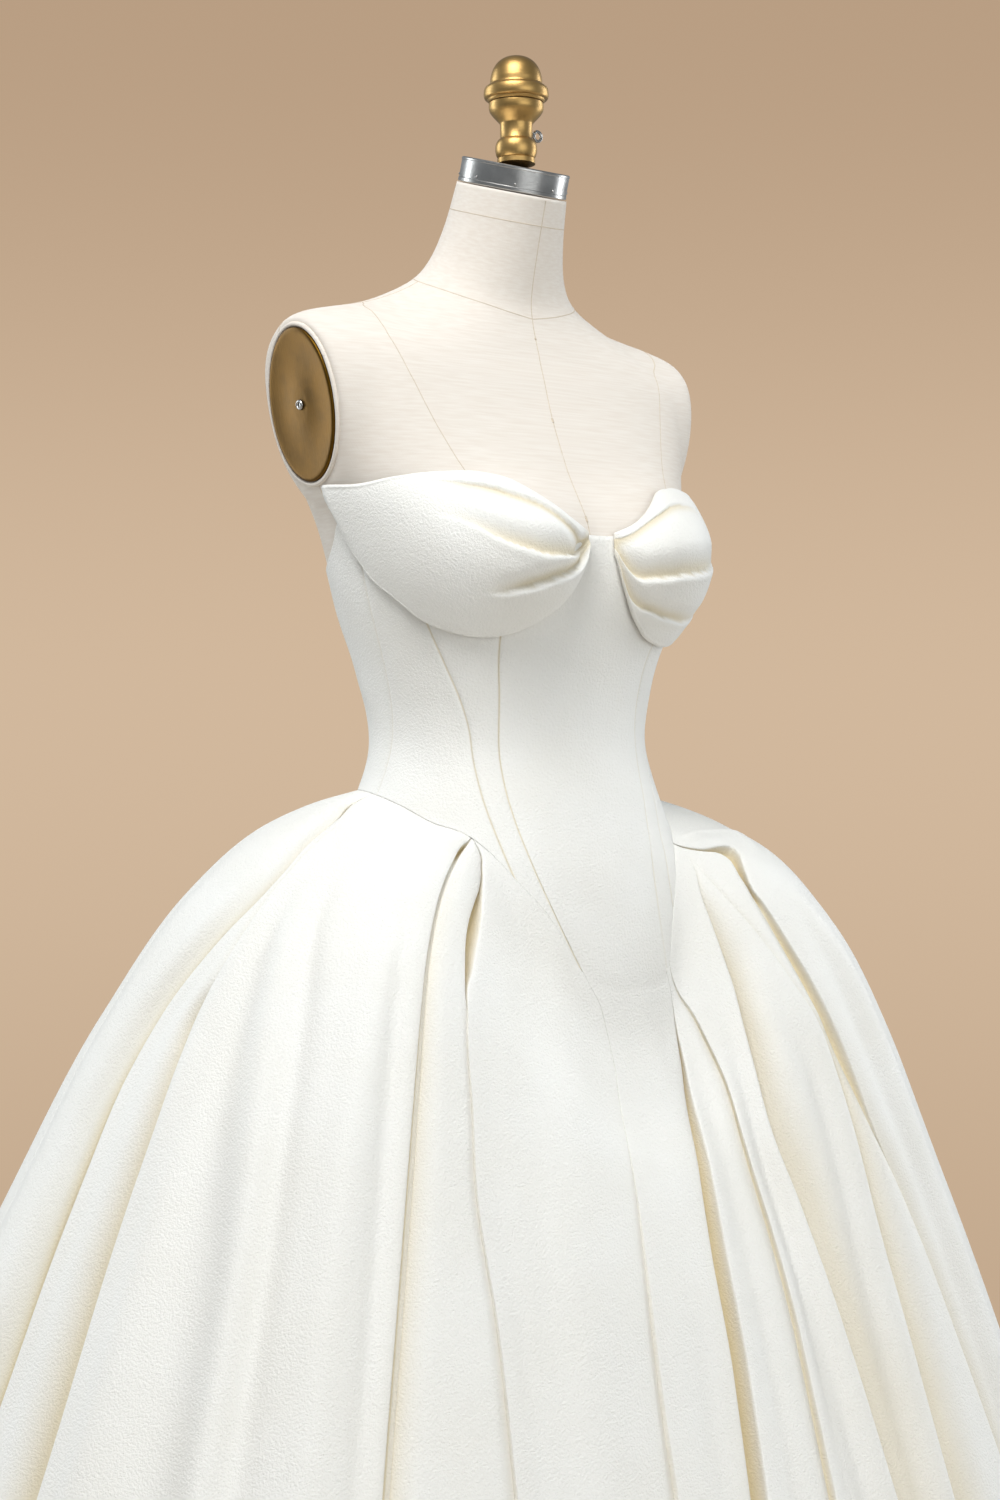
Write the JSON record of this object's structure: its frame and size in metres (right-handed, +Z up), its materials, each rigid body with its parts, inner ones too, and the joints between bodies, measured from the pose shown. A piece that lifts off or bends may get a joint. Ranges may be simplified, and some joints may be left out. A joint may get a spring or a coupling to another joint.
{
  "type": "ball gown on dress form",
  "caption": "Strapless ball gown with draped bust, pointed waist and full pleated floor-length skirt, standing on a limbless dress form with a round stand.",
  "frame": {"origin": "on the floor under the stand's pole, at the middle of the base's underside", "axes": "+Z up, -Y to the front of the gown, +X to the wearer's left"},
  "size_m": [1.4606, 1.1841, 1.6455],
  "materials": {
    "satin": "ivory satin-backed crepe with a soft sheen",
    "linen": "plain cream linen",
    "brass": "aged satin brass",
    "steel": "brushed",
    "iron": "black enamel"
  },
  "bodies": {
    "gown_on_form": {"form_torso": "linen", "neck_band": "steel", "finial_knob": "brass", "finial_stem": "brass", "arm_plate_right": "brass", "arm_screw_right": "steel", "arm_plate_left": "brass", "arm_screw_left": "steel", "stand_flange": "iron", "stand_pole": "steel", "stand_base": "iron", "bodice_front_right": "satin", "bodice_side_front_right": "satin", "bodice_side_back_right": "satin", "bodice_back_right": "satin", "bodice_front_left": "satin", "bodice_side_front_left": "satin", "bodice_side_back_left": "satin", "bodice_back_left": "satin", "bust_drape_right": "satin", "bust_drape_left": "satin", "front_centre_panel": "satin", "skirt_back_right": "satin", "skirt_front_right": "satin", "skirt_front_left": "satin", "skirt_back_left": "satin"},
    "thumb_screw": {"thumb_screw": "steel"}
  },
  "joints": [
    {"name": "thumb_screw_turn", "type": "hinge", "parent": "gown_on_form", "child": "thumb_screw", "pos_m": [0, -0.011, 1.5825], "axis": [1, 0, 0], "continuous": true}
  ]
}
